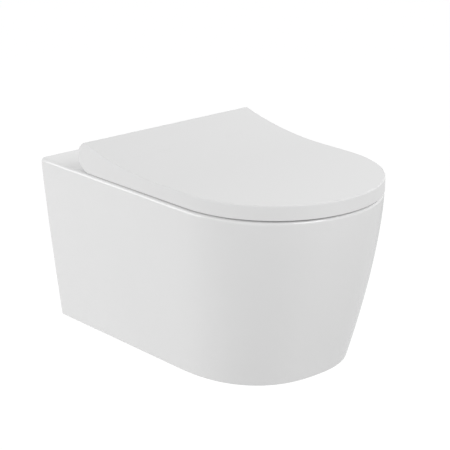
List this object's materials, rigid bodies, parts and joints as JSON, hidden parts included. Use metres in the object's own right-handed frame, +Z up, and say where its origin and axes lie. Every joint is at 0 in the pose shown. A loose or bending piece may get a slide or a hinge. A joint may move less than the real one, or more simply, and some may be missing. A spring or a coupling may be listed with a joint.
{
  "type": "wall hung toilet",
  "caption": "Wall hung toilet: ceramic pan with a straight skirt, seat ring and wrap-over cover on soft closing hinges, fixed to a wall frame.",
  "frame": {"origin": "on the wall plane, midway between the two wall fixing bolts", "axes": "+Y into the wall, +Z up, the pan's front towards -Y"},
  "size_m": [0.3493, 0.541, 0.3317],
  "materials": {
    "glazed_white": "gloss glaze",
    "seat_white": "satin gloss",
    "cover_white": "satin gloss",
    "seal_black": "matte",
    "sleeve_grey": "matte",
    "zinc_steel": "zinc plated",
    "post_chrome": "polished",
    "cap_chrome": "polished",
    "stainless": "turned",
    "brass": "turned",
    "buffer_grey": "matte",
    "damper_grey": "matte"
  },
  "bodies": {
    "pan": {"bowl": "glazed_white", "cover_damper": "damper_grey", "cover_damper_cap": "damper_grey", "expansion_plug_left": "seal_black", "expansion_plug_right": "seal_black", "fixing_boss_left": "glazed_white", "fixing_boss_right": "glazed_white", "fixing_nut_left": "zinc_steel", "fixing_nut_right": "zinc_steel", "fixing_sleeve_left": "sleeve_grey", "fixing_sleeve_right": "sleeve_grey", "fixing_washer_left": "zinc_steel", "fixing_washer_right": "zinc_steel", "flush_way": "glazed_white", "hinge_cap_left": "cap_chrome", "hinge_cap_right": "cap_chrome", "hinge_gasket_left": "seal_black", "hinge_gasket_right": "seal_black", "hinge_post_left": "post_chrome", "hinge_post_right": "post_chrome", "hinge_screw_left": "stainless", "hinge_screw_right": "stainless", "inlet_seal": "seal_black", "pan": "glazed_white", "pan_back": "glazed_white", "plug_nut_left": "brass", "plug_nut_right": "brass", "seat_damper": "damper_grey", "seat_damper_cap": "damper_grey", "trap": "glazed_white"},
    "seat": {"seat": "seat_white", "seat_buffer_front_left": "buffer_grey", "seat_buffer_front_right": "buffer_grey", "seat_buffer_rear_left": "buffer_grey", "seat_buffer_rear_right": "buffer_grey", "seat_damper_shaft": "stainless"},
    "cover": {"cover": "cover_white", "cover_buffer_front_left": "buffer_grey", "cover_buffer_front_right": "buffer_grey", "cover_buffer_rear_left": "buffer_grey", "cover_buffer_rear_right": "buffer_grey", "cover_damper_shaft": "stainless"}
  },
  "joints": [
    {"name": "seat_hinge", "type": "hinge", "parent": "pan", "child": "seat", "pos_m": [0, -0.1225, 0.106], "axis": [-1, 0, 0], "range_deg": [0, 93]},
    {"name": "cover_hinge", "type": "hinge", "parent": "seat", "child": "cover", "pos_m": [0, -0.1225, 0.106], "axis": [-1, 0, 0], "range_deg": [0, 97]}
  ]
}
